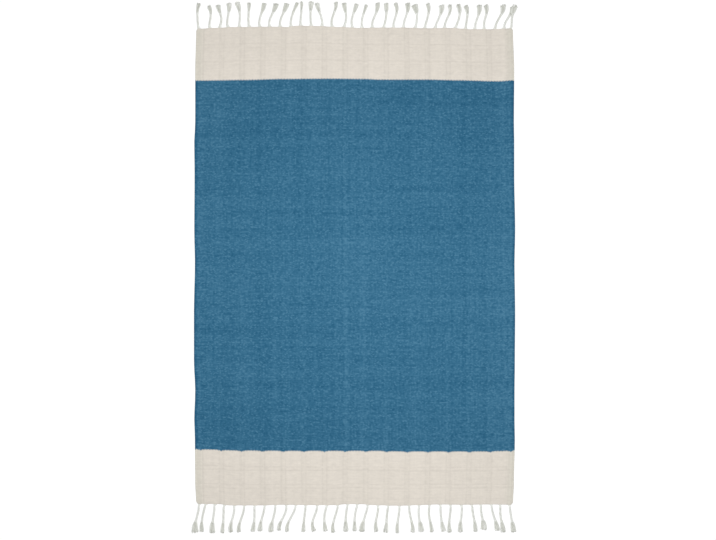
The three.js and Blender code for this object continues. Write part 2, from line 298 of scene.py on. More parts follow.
# %% A socket that can be reckoned with
class Wire:
    """An output socket of a material. Operators on it, or with it, make Math nodes."""

    def __init__(self, tree, socket=None):
        self.tree, self.socket = tree, socket

    def node(self, kind, inputs=(), output=0, **settings):
        """One node of a kind with its settings; inputs maps a socket to a value or to a Wire."""
        made = self.tree.nodes.new(kind)
        for name, value in settings.items():
            setattr(made, name, value)
        for key, value in dict(inputs).items():
            if isinstance(value, Wire):
                self.tree.links.new(value.socket, made.inputs[key])
            else:
                made.inputs[key].default_value = value
        return Wire(self.tree, made.outputs[output])

    def math(self, operation, *values):
        return self.node("ShaderNodeMath", enumerate(values), operation=operation)

    def __add__(self, other): return self.math("ADD", self, other)
    def __radd__(self, other): return self.math("ADD", other, self)
    def __sub__(self, other): return self.math("SUBTRACT", self, other)
    def __rsub__(self, other): return self.math("SUBTRACT", other, self)
    def __mul__(self, other): return self.math("MULTIPLY", self, other)
    def __rmul__(self, other): return self.math("MULTIPLY", other, self)
    def __truediv__(self, other): return self.math("DIVIDE", self, other)
    def __pow__(self, other): return self.math("POWER", self, other)
    def __abs__(self): return self.math("ABSOLUTE", self)
    def floor(self): return self.math("FLOOR", self)
    def part(self): return self.math("FRACT", self)
    def sine(self): return self.math("SINE", self)
    def above(self, other): return self.math("MAXIMUM", self, other)

    def ramp(self, low, high, to_low=0.0, to_high=1.0):
        """The value eased from to_low at low to to_high at high, and level beyond."""
        inputs = {0: self, 1: low, 2: high, 3: to_low, 4: to_high}
        return self.node("ShaderNodeMapRange", inputs, interpolation_type="SMOOTHSTEP")

    def within(self, full, gone):
        """1 up to the value full, eased to 0 at the value gone."""
        return self.ramp(full, gone, 1.0, 0.0)

    def with_y(self, y, z=0.0):
        """A vector from this value as x, with a y and a z."""
        return self.node("ShaderNodeCombineXYZ", {0: self, 1: y, 2: z})

    def noise(self, detail, roughness=0.5):
        """Smooth noise about 0 at this vector, from about -0.5 to 0.5."""
        inputs = {"Vector": self, "Scale": 1.0, "Detail": detail, "Roughness": roughness}
        return self.node("ShaderNodeTexNoise", inputs) - 0.5

    def chance(self):
        """An even random number from 0 to 1 for each whole-numbered place."""
        return self.node("ShaderNodeTexWhiteNoise", {"Vector": self}, noise_dimensions="2D")

    def mixed(self, first, second):
        """This much of the second colour in the first one."""
        inputs = {0: self, 6: first, 7: second}
        return self.node("ShaderNodeMix", inputs, output=2, data_type="RGBA", clamp_factor=True)

    def seen(self):
        """The colour of light that the eye sees as this one."""
        return self.node("ShaderNodeGamma", {"Color": self, "Gamma": 2.2})

    def tinted(self, colour):
        """A colour times this value."""
        grey = self.node("ShaderNodeCombineColor", {0: self, 1: self, 2: self})
        inputs = {0: 1.0, 6: colour, 7: grey}
        return self.node("ShaderNodeMix", inputs, output=2, data_type="RGBA", blend_type="MULTIPLY")


print("a wire can also:", ", ".join(name for name in vars(Wire) if not name.startswith("_")))

# %% [markdown]
# Matt cotton
#
# Cotton scatters light in its fibres. It has almost no gloss, and a soft sheen where it is seen from
# low down. What is the same all over is set on the shader itself, and only colour and height change
# from place to place.

# %% A matt material
COTTON_GLOSS = 0.15
SHEEN_ROUGHNESS = 0.6


def cotton(name, roughness, sheen):
    """A new matt material, a Wire to begin its sums from, and its shader."""
    material = bpy.data.materials.new(name)
    material.use_nodes = True
    tree = material.node_tree
    shader = tree.nodes["Principled BSDF"]
    shader.inputs["Roughness"].default_value = roughness
    shader.inputs["Specular IOR Level"].default_value = COTTON_GLOSS
    shader.inputs["Sheen Weight"].default_value = sheen
    shader.inputs["Sheen Roughness"].default_value = SHEEN_ROUGHNESS
    return material, Wire(tree), shader


def finish_cotton(wire, shader, colour, height, rise):
    """Joins a colour, and a height that counts for so many metres, to a matt material's shader."""
    inputs = {"Strength": 1.0, "Distance": rise, "Height": height}
    bump = wire.node("ShaderNodeBump", inputs)
    wire.tree.links.new(colour.socket, shader.inputs["Base Color"])
    wire.tree.links.new(bump.socket, shader.inputs["Normal"])


woven, wire, shader = cotton("woven_cotton", roughness=0.93, sheen=0.08)
print("material begun:", woven.name)

# %% [markdown]
# The weave
#
# A plain weave passes each pick of the weft over the warp and under it by turns, and the next pick
# the other way round. Here the warp is natural cotton, and the weft, which hides it, changes colour:
# natural, blue, natural. The cloth has more than a hundred thousand floats, the stretches where the
# weft lies on top, so they can't be meshes, and an image would blur close up. The pattern is worked
# out at every place instead. A float with the dip beside it is two warp ends wide and one pick high,
# and round like its yarn. Its tone is looked up at its own middle, so that it has one tone.

# %% Picks, warp ends and floats
WARP_PITCH, WEFT_PITCH = 2.4, 2.3
MEAN_RISE, FLOAT_RISE = 0.62, 0.38  # of a pick, and what it gains over a warp end and loses under one

weave = wire.node("ShaderNodeAttribute", output="Vector", attribute_name="weave")
across, along = (wire.node("ShaderNodeSeparateXYZ", {0: weave}, output=k) for k in (0, 1))
end_count, pick_count = across / WARP_PITCH, along / WEFT_PITCH
pick = pick_count.floor()
over = ((end_count + pick) * np.pi).sine()
round_pick = 1.0 - (2.0 * pick_count.part() - 1.0) ** 2.0
rise = round_pick * (MEAN_RISE + FLOAT_RISE * over)
hop = ((end_count + pick + 0.5) / 2.0).floor()  # counts the floats of a pick
hop_across, hop_along = (2.0 * hop - pick + 0.5) * WARP_PITCH, (pick + 0.5) * WEFT_PITCH
print("picks:", round(LENGTH / WEFT_PITCH), "and warp ends:", round(WIDTH / WARP_PITCH))

# %% [markdown]
# Panes and selvedges
#
# Pairs of faint lines, where the yarns crowd together, mark out large panes: ribs run the whole
# length of the rug, and cross lines run over the natural bands. On the natural cotton they are darker,
# a painted shade of their grooves. Each is a distance to the nearest line, which a ramp turns into a
# thin stripe. Along the selvedges the yarns are packed hard in a few lines.

# %% Ribs, cross lines and selvedge lines
PANE_WIDTH, PANE_LENGTH, PANE_SHIFT = 64.7, 54.2, 2.3
LINE_OFFSET, CROSS_OFFSET = 6.4, 5.4  # of each line of a pair from the pair's middle
HEADING = 20.0  # from the last faint line to the end of the cloth
SELVEDGE_LINE, FIRST_LINE = 9.3, 1.7  # between the lines along a selvedge, and where they begin
# a stripe is full up to the first distance and gone at the second
RIB_LINE, RIB_BAND, CROSS_LINE, HEADING_LINE = (0.6, 2.6), (8.5, 12.5), (0.5, 2.6), (1.0, 3.0)
PACKED, PACKED_LINE, LAST_LINE, EDGE_SHADE_SPAN = (3.0, 32.0), (0.8, 2.6), (26.0, 29.0), (4.0, 12.0)
BAND_EASE = 5.0  # over which the cross lines begin and end
# how much darker the stripes make the natural cotton: painted shade of their grooves
BAND_SHADE, RIB_SHADE, STRONG_SHADE, WEAK_SHADE, HEADING_SHADE = 0.024, 0.030, 0.062, 0.046, 0.025
FAR_SHARE = 0.7  # the cross lines of the far band are fainter

from_rib = abs(((across - PANE_SHIFT) / PANE_WIDTH).part() - 0.5) * PANE_WIDTH
rib_line = abs(from_rib - LINE_OFFSET).within(*RIB_LINE)
rib_band = from_rib.within(*RIB_BAND)
past_field = abs(along) - FIELD_HALF
near_half = along.within(-1.0, 1.0)
past_cross = ((past_field / PANE_LENGTH + 0.5).part() - 0.5) * PANE_LENGTH
further = past_cross * (1.0 - 2.0 * near_half)
strong_line = abs(further - CROSS_OFFSET).within(*CROSS_LINE)
weak_line = abs(further + CROSS_OFFSET).within(*CROSS_LINE)
in_band = abs(past_field - 1.5 * PANE_LENGTH).within(PANE_LENGTH - BAND_EASE, PANE_LENGTH)
heading = abs(past_field - (BAND - HEADING)).within(*HEADING_LINE)
ribs = BAND_SHADE * rib_band + RIB_SHADE * rib_line
strength = in_band * (FAR_SHARE + (1.0 - FAR_SHARE) * near_half)
crossing = strength * (STRONG_SHADE * strong_line + WEAK_SHADE * weak_line)
groove_shade = ribs.above(crossing).above(HEADING_SHADE * heading)

inside = WIDTH / 2 - abs(across)
selvedge = inside.within(*PACKED)
from_line = abs(((inside - FIRST_LINE) / SELVEDGE_LINE).part() - 0.5) * SELVEDGE_LINE
selvedge_line = from_line.within(*PACKED_LINE) * inside.within(*LAST_LINE)
# painted shade: the blue is darker at the very edge, where the cloth rounds down to the floor
edge_shade = inside.within(*EDGE_SHADE_SPAN)
print("panes across:", round(WIDTH / PANE_WIDTH), "and along a band:", round(BAND / PANE_LENGTH))

# %% [markdown]
# Colour lines
#
# Where the weft changes colour, the last blue pick and the first natural one interlock, which gives
# fine teeth. At the near line the ribs draw the last blue picks out, so that the line has a small
# point at each rib and a shallow arc between two. Both are moved places of one sharp step from blue
# to natural, since a picture of the line would have to be drawn anew for every bow of the cloth.

# %% Share of the blue weft
TOOTH = 1.7  # half of a tooth's height
POINT_HEIGHT, ARC_DEPTH = 3.4, 0.9  # of a point over the arcs, and of the arcs inside the line
STEP_HALF = 0.35  # half of the width over which blue turns into natural

teeth = (end_count * np.pi).sine() * TOOTH
crown = 1.0 - 2.0 * from_rib / PANE_WIDTH
dip = (POINT_HEIGHT * crown ** 4.0 - ARC_DEPTH) * near_half
blue_share = (past_field - teeth - dip).within(-STEP_HALF, STEP_HALF)
print("points of", POINT_HEIGHT, "mm and teeth of", 2 * TOOTH, "mm")

# %% [markdown]
# Uneven yarn and dye
#
# Hand-spun yarn is thick and thin, and it takes the dye unevenly, which makes the field lively.
# Long streaks run with the weft and with the warp, slubs are short ones, and grain, mottle and cloud
# are ever larger patches. Each is a noise stretched to its size. What belongs to a single float is
# looked up at the float's middle, and what runs through the cloth at the place itself.

# %% Noises of the cloth
SPOT, FLOAT_SPOT = (across, along), (hop_across, hop_along)


def patches(spot, size, layer, detail=1.0, roughness=0.5):
    """Noise about 0 over the weave, in patches of about this size across and along in mm: noise at
    the place divided by the size. Each layer is another noise."""
    return (spot[0] / size[0]).with_y(spot[1] / size[1], layer).noise(detail, roughness)


streak = patches(SPOT, (1200.0, 44.0), 3.0, 4.0, 0.95)
warp_streak = patches(SPOT, (44.0, 4000.0), 13.0, 4.0, 0.95)
slub = patches(FLOAT_SPOT, (26.0, 4.4), 9.0)
warp_slub = patches(FLOAT_SPOT, (4.4, 26.0), 11.0)
turn_slub = patches(SPOT, (44.0, 5.2), 15.0)
grain = patches(FLOAT_SPOT, (5.2, 7.0), 5.0)
mottle = patches(SPOT, (15.0, 13.0), 7.0)
cloud = patches(SPOT, (240.0, 200.0), 1.0, 2.0)
rubbed = patches(SPOT, (34.0, 24.0), 17.0).ramp(0.0, 0.2)
fleck = hop.with_y(pick).chance()
print("nodes so far:", len(woven.node_tree.nodes))

# %% [markdown]
# Wear, painted light and shade
#
# A used rug is paler on its ribs, along the lines where it was folded, and towards its selvedges. A
# broad patch right of the middle is paler too, a painted pool of light. At the very edge, where the
# cloth rounds down to the floor, the blue is darker, a painted shade. All of it adds up to one number
# that goes from the deep blue to the pale one, each part with a weight for how plainly it shows, and
# the natural weft has a tone about 1 that the lines darken with painted shade of their grooves.

# %% Dye, wear, painted light and shade, and the natural tone
FOLDS = (-28.0, 22.0)  # two lines along the middle, paler where the rug was folded
HALFWAY = -12.0  # the place along the rug where they are palest
LIGHT_POOL_AT = 200.0  # the painted pool of light is brightest to the right of the middle
LIGHT_POOL_WIDTH, LIGHT_POOL_LENGTH = 900.0, 600.0
FADED_SHARE = 0.29
# distances at which a worn place is still full, and at which it is gone
CREST, PALEST, FOLD, BETWEEN = (1.0, 11.0), (80.0, 160.0), (2.0, 14.0), (20.0, 80.0)
TURN_STREAKS = (10.0, 70.0)
SELVEDGE_SHADE = 0.03

pale = (grain - 0.08).above(0.0) + fleck.ramp(0.95, 1.0, 0.0, 0.26)
# 0.3 * rise is painted light and shade: a paler crown on each float and darker gaps between the picks
drawn = 0.8 * (streak + warp_streak) + 0.3 * mottle + 0.15 * cloud + 0.3 * rise
dye = drawn + 0.6 * slub + 0.7 * warp_slub + 1.2 * grain + 2.3 * pale

# painted light: the blue is paler in a broad patch to the right of the middle
light_pool = 1.0 - ((across - LIGHT_POOL_AT) / LIGHT_POOL_WIDTH) ** 2.0 - (along / LIGHT_POOL_LENGTH) ** 2.0
crest = from_rib.within(*CREST)
halfway = abs(along - HALFWAY).within(*PALEST)
edge_fade = inside.ramp(35.0, 85.0, 0.085, 0.0)
wear_and_light = 0.08 * light_pool.above(0.0) + 0.05 * crest + 0.03 * halfway + edge_fade

first_fold, second_fold = (abs(across - fold).within(*FOLD) for fold in FOLDS)
between = abs(across).within(*BETWEEN)
folds = 0.3 * rubbed * first_fold + 0.1 * second_fold + (0.03 + 0.05 * halfway) * between

turn_streak = turn_slub * inside.within(*TURN_STREAKS)
# this carries painted light and shade as well as dye and wear: the pool of light, the float crowns and the
# dark edge
fade_and_light = FADED_SHARE + dye + wear_and_light + folds + 0.8 * turn_streak - 0.3 * edge_shade
spun = 0.12 * (streak + warp_streak) + 0.12 * (slub + mottle + grain) + 0.06 * cloud
natural_tone = 1.0 + spun - groove_shade - SELVEDGE_SHADE * selvedge_line
print("folded at", FOLDS, "mm from the middle")

# %% [markdown]
# The cloth's colours
#
# The two blues are mixed as the eye sees them, so that the tones spread evenly to both sides, and
# are then turned into light. The natural cotton is given as light already, and it is greyer at the
# selvedges. The height of the yarns goes into a Bump node, since one yarn is finer than the sheet's
# grid.

# %% Colour and height of the cloth
DEEP_BLUE = (0.120, 0.329, 0.451, 1.0)  # where the dye took best, and in painted shade, as the eye sees it
PALE_BLUE = (0.288, 0.477, 0.589, 1.0)  # where it took least, and where painted light pales it most
NATURAL = (0.707, 0.656, 0.586, 1.0)
GREYED = (0.650, 0.640, 0.550, 1.0)
YARN_RISE = 0.6 * MM

blue_weft = fade_and_light.mixed(DEEP_BLUE, PALE_BLUE).seen()
natural_weft = natural_tone.tinted((0.45 * selvedge).mixed(NATURAL, GREYED))
colour = blue_share.mixed(natural_weft, blue_weft)
finish_cotton(wire, shader, colour, rise + 0.3 * mottle, YARN_RISE)
print("woven cotton:", len(woven.node_tree.nodes), "nodes")

# %% [markdown]
# The sheet
#
# The sheet is a grid over the weave. Its top carries the low relief that can be felt by hand: the
# bands between the paired lines stand up a little, and the lines themselves lie low. Its underside
# lies on the floor but for a very slight wave, as a rug does that has been rolled. The section is
# rounded at the edges, where the picks turn back. A plane with Solidify and Displace could do this
# with an even grid, but here the rows are listed and lie close only where the relief is.

# %% Heights of the cloth
RIB_RISE, LINE_DEPTH, WAVE = 0.45, 0.35, 0.5
RIB_SPREAD, GROOVE_SPREAD = 4.2, 1.9
CROSS_SHARE = 0.7  # the relief across the bands is the lower one
CROSS_FROM, CROSS_EASE = -2.0, 8.0  # where it begins past the field, and over what length
EDGE_ROUND, EDGE_LOSS = 2.2, 0.9  # how far in the edge is rounded, and how much of a full round it is
WAVE_ACROSS, WAVE_ALONG, WAVE_BEND = 61.0, 83.0, 210.0  # lengths of a radian of the wave


def pair_relief(off):
    """Height over a pair of lines: a swelling between them less a groove at each, as bell curves."""
    swelling = np.exp(-((off / RIB_SPREAD) ** 2))
    groove = np.exp(-(((np.abs(off) - LINE_OFFSET) / GROOVE_SPREAD) ** 2))
    return RIB_RISE * swelling - LINE_DEPTH * groove


def wave(across, along):
    """The height of the cloth over the floor: two crossing sine waves, about 380 mm long across and
    520 mm along, never below 0."""
    bent = across / WAVE_ACROSS + 1.2 * np.sin(along / WAVE_BEND)
    crossing = np.sin(bent) * np.sin(along / WAVE_ALONG + 0.7)
    return WAVE * 0.5 * (1 + crossing)


def cloth_heights(across, along):
    """Underside and top of the cloth at places of the weave: the wave's height, and half of the
    thickness to both sides of the middle, less towards the edges, with the relief on the top."""
    off_rib = (((across - PANE_SHIFT) / PANE_WIDTH) % 1 - 0.5) * PANE_WIDTH
    past_field = np.abs(along) - FIELD_HALF
    off_cross = np.abs(past_field - 1.5 * PANE_LENGTH) - 0.5 * PANE_LENGTH
    in_band = smooth((past_field - CROSS_FROM) / CROSS_EASE)
    relief = pair_relief(off_rib) + CROSS_SHARE * in_band * pair_relief(off_cross)
    inside = np.minimum(WIDTH / 2 - np.abs(across), LENGTH / 2 - np.abs(along))
    lean = 1 - np.clip(inside / EDGE_ROUND, 0, 1)
    bulge = np.sqrt(1 - EDGE_LOSS * lean**2)
    middle = wave(across, along) + THICKNESS / 2
    return middle - bulge * THICKNESS / 2, middle + bulge * (THICKNESS / 2 + relief)


rib_heights = cloth_heights(PANE_SHIFT + PANE_WIDTH / 2, 0.0)
print("underside and top at a rib in mm:", [round(float(v), 2) for v in rib_heights])

# %% Rows and columns of the sheet
COLUMNS, FIELD_ROWS = 342, 38
# offsets of rows from the middle of a pair of cross lines, and rows between the pairs from the end
PAIR_ROWS = np.array([-10, -8, -6.6, -5.2, -2.6, 0, 2.6, 5.2, 6.6, 8, 10])
OPEN_ROWS = np.array([0, 0.8, 2.2, 4.5, 8, 12, 17, 20, 23, 31, 41, 72, 84, 96, 126, 139, 152, 161])

pair_middles = (BAND - PANE_LENGTH, BAND - 2 * PANE_LENGTH)
band_rows = np.sort(np.concatenate([OPEN_ROWS] + [middle + PAIR_ROWS for middle in pair_middles]))
far_rows = LENGTH / 2 - band_rows
field_rows = np.linspace(-FIELD_HALF, FIELD_HALF, FIELD_ROWS)
row_places = np.concatenate([-far_rows, field_rows, far_rows[::-1]])
column_places = np.linspace(-WIDTH / 2, WIDTH / 2, COLUMNS)
sheet_across, sheet_along = np.meshgrid(column_places, row_places)
print("rows and columns:", sheet_across.shape)


# %% Sheet of cloth
def rim(ids):
    """The grid's outer points in one closed round, seen from above against the clock."""
    sides = [ids[0, :-1], ids[:-1, -1], ids[-1, :0:-1], ids[:0:-1, 0], ids[0, :1]]
    return np.concatenate(sides)


floor_x, floor_y = lie(sheet_across, sheet_along)
underside, top = cloth_heights(sheet_across, sheet_along)
points = np.stack([np.stack([floor_x, floor_y, z], -1) for z in (top, underside)]).reshape(-1, 3)
top_ids, under_ids = np.arange(len(points)).reshape(2, *sheet_across.shape)
faces = np.concatenate([
    grid_faces(top_ids),
    grid_faces(under_ids[:, ::-1]),
    grid_faces(np.stack([rim(under_ids), rim(top_ids)])),
])
weave_place = np.stack([sheet_across, sheet_along, np.zeros_like(sheet_across)], -1).reshape(-1, 3)
sheet = piece("cloth_sheet", points, faces, woven, "blue_cotton", weave=np.tile(weave_place, (2, 1)))
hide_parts("rug_cloth")

# %% [markdown]
# The selvedges
#
# At each side the weft turns round the outermost warp ends and comes back, which makes a corded
# edge with a small ridge for every turn. A bevelled curve could follow the edge, but would be smooth.
# This is a ring carried along the selvedge, and its radius swells at each turn.

# %% Corded edges
TURN_PITCH = 3.4
SELVEDGE_RADIUS, TURN_RISE, SELVEDGE_SIDES = 2.0, 0.35, 8
SELVEDGE_INSET = 2.3  # from the edge of the cloth to the middle of the ring
SELVEDGE_STOPS = 5.0  # this far from an end of the cloth
TURN_STEPS = 1740
SWELLS, SWELL = 400, 0.15  # how often the radius changes by chance, and by how much
SELVEDGE_SEED = 7

turn_steps = np.linspace(-LENGTH / 2 + SELVEDGE_STOPS, LENGTH / 2 - SELVEDGE_STOPS, TURN_STEPS)
rng = np.random.default_rng(SELVEDGE_SEED)
swell_places = np.linspace(-LENGTH / 2, LENGTH / 2, SWELLS)
swell = np.interp(turn_steps, swell_places, rng.uniform(-SWELL, SWELL, SWELLS))
turn_radius = SELVEDGE_RADIUS + swell + TURN_RISE * np.abs(np.sin(np.pi * turn_steps / TURN_PITCH))
for name, side in (("left", -1), ("right", 1)):
    side_across = np.full_like(turn_steps, side * (WIDTH / 2 - SELVEDGE_INSET))
    x, y = lie(side_across, turn_steps)
    z = wave(side_across, turn_steps) + turn_radius
    points, faces = yarns(np.stack([x, y, z], -1)[None], turn_radius[None], SELVEDGE_SIDES)
    weave_place = np.stack([side_across, turn_steps, 0 * turn_steps], -1).repeat(SELVEDGE_SIDES, axis=0)
    made = piece(f"selvedge_{name}", points, faces, woven, "blue_cotton", weave=weave_place)

# %% [markdown]
# The yarn of the fringe
#
# The strands are bundles of the natural warp, so they have its colour, a little greyer where the
# ends are open and catch dust, and in the painted shade in the middle of a brush. Every yarn has a
# tone of its own, which its points keep, and fine fibres run along it. They are a noise drawn out
# along the rug's length, since a fibre is far too thin to be a mesh.

# %% Material of the strands
# the colour of yarns with a low tone: dust on the open ends, and painted shade in the middle of a brush
DUST_AND_SHADE = (0.690, 0.700, 0.640, 1.0)
CLEAN = (0.690, 0.700, 0.668, 1.0)
FIBRE_WIDTH, FIBRE_LENGTH, FUZZ = 0.6 * MM, 6 * MM, 4 * MM  # sizes of the noises
FIBRE_RISE = 0.4 * MM

strand_cotton, wire, shader = cotton("strand_cotton", roughness=0.95, sheen=0.10)
tone = wire.node("ShaderNodeAttribute", output="Fac", attribute_name="tone")
spot = wire.node("ShaderNodeTexCoord", output="Object")
spot_x, spot_y, spot_z = (wire.node("ShaderNodeSeparateXYZ", {0: spot}, output=k) for k in (0, 1, 2))
fibre = (spot_x / FIBRE_WIDTH).with_y(spot_y / FIBRE_LENGTH, spot_z / FIBRE_WIDTH).noise(2.0)
fuzz = (spot_x / FUZZ).with_y(spot_y / FUZZ, spot_z / FUZZ).noise(1.0)
strand_tone = 0.90 + 0.14 * tone + 0.16 * fibre + 0.10 * fuzz
strand_colour = strand_tone.tinted(tone.ramp(0.4, 1.4).mixed(DUST_AND_SHADE, CLEAN))
finish_cotton(wire, shader, strand_colour, fibre, FIBRE_RISE)
print("strand cotton:", len(strand_cotton.node_tree.nodes), "nodes")

# %% [markdown]
# The strands
#
# A maker gathers about a dozen warp ends for each strand, twists them into a cord of three plies,
# ties one knot and trims the rest to a brush. Hair curves could stand for the yarns, but they would
# neither lie on the floor nor be kept as a mesh. A strand is therefore five sets of yarns that follow
# one curve on the floor, a cubic from the root through the middle of the cord and the knot to the
# end: the plies as helices about the curve, the knot as a short leaning coil, the brush as a sheaf of
# yarns that swells past the knot, a few loose fibres, and the gathered ends.

# %% Curve of each strand
MID_AT, KNOT_AT = 0.29, 0.60  # places along a strand, from 0 at its root to 1 at its end
CORD_HEIGHT, KNOT_HEIGHT = 3.8, 4.4  # of the strand's middle over the floor
KNOT_SHARE = 0.09  # how far along the strand the knot's lift is felt
PLACES = np.array([MID_AT, KNOT_AT, 1.0])
PLACE_POWERS = np.linalg.inv(PLACES[:, None] ** np.arange(1, 4))
UP = np.array([0.0, 0.0, 1.0])


def strand_curves(end, share):
    """Points of each strand's middle, and its level sideways direction, at shares of its length.
    share is (strand, step) or one row for all. x is the root plus the cubic of the share through the
    three places of the table, and the middle rises where the knot lifts it."""
    root, length = end.roots[:, None], end.lengths[:, None]
    first, second, third = (PLACE_POWERS @ end.bends.T)[:, :, None]
    edge_y = lie(root, np.full_like(root, end.outward * LENGTH / 2))[1]
    x = root + first * share + second * share**2 + third * share**3
    y = edge_y - end.outward * end.cusp + end.outward * length * share
    lift = (KNOT_HEIGHT - CORD_HEIGHT) * np.exp(-(((share - KNOT_AT) / KNOT_SHARE) ** 2))
    middle = np.stack(np.broadcast_arrays(x, y, CORD_HEIGHT + lift), -1)
    slope = first + 2 * second * share + 3 * third * share**2
    onward = np.broadcast_arrays(slope, end.outward * length)
    sideways = unit(np.stack([onward[1], -onward[0], np.zeros_like(onward[0])], -1))
    return middle, sideways


for end in ENDS:
    tip_places = strand_curves(end, np.array([1.0]))[0][..., 1].round(1)
    print(f"the {end.name} strands end between y =", tip_places.min(), "and", tip_places.max())

# %% [markdown]
# Cords and knots
#
# Three plies lie round the middle of a cord, a third of a turn apart. A cord that lies on the floor
# flattens a little, so its twist is wider than it is high. The knot is a yarn about as thick as a ply,
# wound round the cord. A true knot could be tied from the plies, but only its outer turns would show.


# %% Twisted cords
class Bundle(NamedTuple):
    """Yarns of one kind for all the strands of an end."""

    paths: np.ndarray  # (yarn, step, 3)
    radii: np.ndarray  # (yarn, step), or fewer values that count for all
    sides: int  # of a yarn's ring
    light: np.ndarray  # added to the tone of each yarn, or of all


CORD_STEPS = 44
PLIES, LAY = 3, 17.0  # the plies of a cord, and the length of one turn of its twist
PLY_RADIUS, TWIST_RADIUS = 1.8, 2.0
CORD_FROM, CORD_PAST = -0.03, 0.02  # where a cord begins, and how far it runs into its knot
GROWN_OVER = 0.15  # the share of a strand in which its cord grows to its full width
ROOT_SINK = 1.3  # a cord leaves the cloth this much lower than it lies
ROOT_TWIST, ROOT_PLY = 0.25, 0.35  # the shares of both radii at the root


def cords(end, rng):
    """The plies of every cord: helices of a fixed lay about the strand's curve, which grow to their
    full width out of the cloth's edge, where they also rise from the floor."""
    share = np.linspace(CORD_FROM, KNOT_AT + CORD_PAST, CORD_STEPS)
    grown = smooth((share - CORD_FROM) / GROWN_OVER)
    middle, sideways = strand_curves(end, share)
    middle[..., 2] -= ROOT_SINK * (1 - grown)
    start = rng.uniform(0, 2 * np.pi, (len(middle), 1, 1))
    ply = np.arange(PLIES)[None, :, None] * 2 * np.pi / PLIES
    angle = (2 * np.pi * end.lengths[:, None] * share / LAY)[:, None] + start + ply
    around = end.girth * np.cos(angle)[..., None] * sideways[:, None] + np.sin(angle)[..., None] * UP
    paths = middle[:, None] + (TWIST_RADIUS * (ROOT_TWIST + (1 - ROOT_TWIST) * grown))[:, None] * around
    radii = PLY_RADIUS * (ROOT_PLY + (1 - ROOT_PLY) * grown)
    return Bundle(paths.reshape(-1, CORD_STEPS, 3), radii, sides=6, light=np.array(0.75))


cord_widths = {end.name: round(2 * (end.girth * TWIST_RADIUS + PLY_RADIUS), 1) for end in ENDS}
print("widths of the cords in mm:", cord_widths)

# %% Knots
KNOT_STEPS = 25
KNOT_TURNS, KNOT_HALF = 2.25, 2.1  # turns of the coil, and half of its length
COIL_RADIUS, COIL_YARN = 2.6, 1.7
LEAN = (0.5, 1.0)  # how far forward a turn of the coil leans


def knots(end, rng):
    """One knot on every cord: a yarn wound round it in a short coil, a helix whose steps lean."""
    turn = np.linspace(0, KNOT_TURNS, KNOT_STEPS)
    middle, sideways = strand_curves(end, np.array([KNOT_AT]))
    onward = np.cross(UP, sideways)
    lean = rng.uniform(*LEAN, (len(middle), 1))
    angle = 2 * np.pi * turn + rng.uniform(0, 2 * np.pi, (len(middle), 1))
    forward = KNOT_HALF * (turn / turn[-1] * 2 - 1) + lean * np.sin(angle)
    around = np.cos(angle)[..., None] * sideways + np.sin(angle)[..., None] * UP
    paths = middle + COIL_RADIUS * around + forward[..., None] * onward
    return Bundle(paths, np.array(COIL_YARN), sides=6, light=np.array(0.6))


print("width of a knot in mm:", round(2 * (COIL_RADIUS + COIL_YARN), 1))

# %% [markdown]
# Brushes and loose fibres
#
# Past the knot the yarns are open. Those in the middle of a brush are darker, a painted shade, and
# those at its sides lighter, and all sink from the knot's height to the floor. Their ends differ a
# little, as scissors leave them.

# %% Brushes
BRUSH_YARNS, BRUSH_STEPS = 24, 8
BRUSH_YARN = 0.14  # a yarn's radius as a share of half of its brush
NECK_SHARE, SWELL_SHARE = 0.36, 0.70  # a brush's width at the knot, and what it gains
FULLNESS = (0.35, 0.75)  # the power of the widening, a low one for a brush that is wide at once
REACH, ROUND_END = (0.92, 1.03), 0.06  # where a yarn ends, and how much sooner at the sides
UNEVEN, WIGGLE = 0.1, 0.5  # of the yarns' places in a brush, and of a yarn to the side in mm
NECK_HEIGHT, TIP_HEIGHT = (1.6, 6.0), (0.8, 4.0)  # of a yarn's middle over the floor
THICK_AT, THICKNESSES = (0, 0.4, 1), (0.9, 1.0, 0.8)  # along a yarn, and the shares of its radius there


def brushes(end, rng):
    """The open ends past every knot: a sheaf of yarns that widens by a power of the share of its
    length, sooner in some brushes than in others, ends in a slight round and sinks to the floor."""
    count = len(end.strands)
    step = np.linspace(0, 1, BRUSH_STEPS)
    size = (count, BRUSH_YARNS, 1)
    half = end.brush_halves[:, None, None]
    spread = np.linspace(-1, 1, BRUSH_YARNS)[None, :, None] + rng.normal(0, UNEVEN, size)
    reach = rng.uniform(*REACH, size) - ROUND_END * spread**2
    share = KNOT_AT + (1 - KNOT_AT) * (0.02 + 0.98 * step * reach)
    middle, sideways = strand_curves(end, share.reshape(count, -1))
    shape = (count, BRUSH_YARNS, BRUSH_STEPS, 3)
    wiggle = rng.normal(0, WIGGLE, size) * np.sin(np.pi * step * 2 + rng.uniform(0, 6, size))
    fullness = rng.uniform(*FULLNESS, (count, 1, 1))
    aside = half * spread * (NECK_SHARE + SWELL_SHARE * step**fullness) + wiggle * step
    neck, tip = rng.uniform(*NECK_HEIGHT, size), rng.uniform(*TIP_HEIGHT, size)
    height = neck + (tip - neck) * smooth(step * 1.2)
    paths = middle.reshape(shape) + aside[..., None] * sideways.reshape(shape)
    paths[..., 2] = height
    radius = BRUSH_YARN * half * np.interp(step, THICK_AT, THICKNESSES)
    radii = np.repeat(radius, BRUSH_YARNS, axis=1).reshape(-1, BRUSH_STEPS)
    # painted shade: the middle yarns of a brush get a lower tone than those at its sides
    light = 1.2 * spread.ravel() ** 2 - 0.2
    return Bundle(paths.reshape(-1, BRUSH_STEPS, 3), radii, sides=4, light=light)


print("yarns in all the brushes:", STRANDS * BRUSH_YARNS)

# %% Loose fibres
LOOSE_FIBRES, FIBRE_STEPS, FIBRE_RADIUS = 4, 7, 0.28
FIBRE_REACH, FIBRE_ROOT = 9.0, 1.5  # how far to a side a fibre may stray at its end and at its root
FIBRE_SHARES, FIBRE_POWER = (0.7, 1.06), 1.4  # shares of the brush's length, and the curve's power
FIBRE_HIGH, FIBRE_SINK, FIBRE_HUMP = 3.4, 2.6, 0.8  # its height at the knot, its fall and its hump


